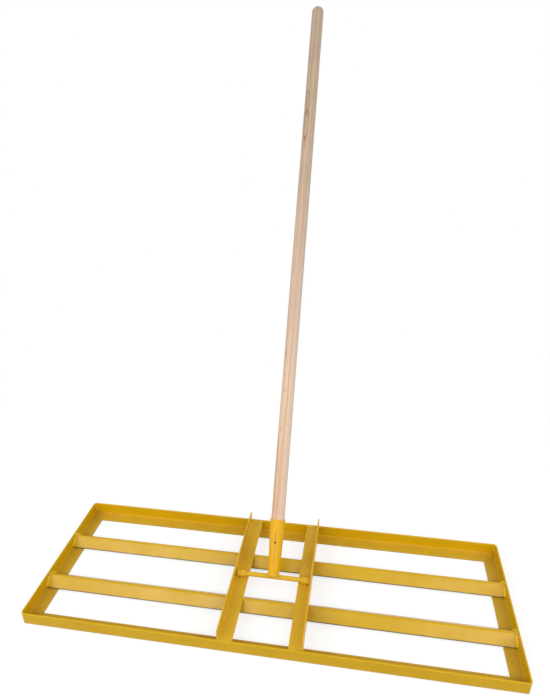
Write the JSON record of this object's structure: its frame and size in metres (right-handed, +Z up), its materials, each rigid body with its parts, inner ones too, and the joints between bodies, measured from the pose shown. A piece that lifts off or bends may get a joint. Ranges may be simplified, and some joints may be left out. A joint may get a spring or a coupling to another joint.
{
  "type": "lawn leveling rake",
  "caption": "Lawn leveling rake: a wide welded frame of painted steel angle with levelling bars across it, and a long wooden handle in a steel socket that swings on a central pivot.",
  "frame": {"origin": "on the ground, at the centre of the steel frame's footprint", "axes": "+X along the frame to the right, +Y from front to back, the way the handle leans at rest, +Z up"},
  "size_m": [1, 0.9853, 1.1928],
  "materials": {
    "yellow_paint": "semi-gloss yellow paint over welded steel",
    "pine": "bare sanded softwood with long straight grain",
    "screw_steel": "dark plated steel"
  },
  "bodies": {
    "frame": {"front_rail": "yellow_paint", "back_rail": "yellow_paint", "left_rail": "yellow_paint", "right_rail": "yellow_paint", "front_levelling_bar": "yellow_paint", "rear_levelling_bar": "yellow_paint", "left_cross_angle": "yellow_paint", "right_cross_angle": "yellow_paint", "left_pivot_bush": "yellow_paint", "right_pivot_bush": "yellow_paint", "corner_welds": "yellow_paint", "front_bar_welds": "yellow_paint", "rear_bar_welds": "yellow_paint", "cross_end_welds": "yellow_paint", "ridge_welds": "yellow_paint", "bush_welds": "yellow_paint"},
    "handle": {"pivot_rod": "yellow_paint", "handle_socket": "yellow_paint", "socket_weld": "yellow_paint", "handle_shaft": "pine", "handle_screw": "screw_steel"}
  },
  "joints": [
    {"name": "handle_swing", "type": "hinge", "parent": "frame", "child": "handle", "pos_m": [0, -0.004, 0.03441], "axis": [1, 0, 0], "range_deg": [-50, 120]}
  ]
}
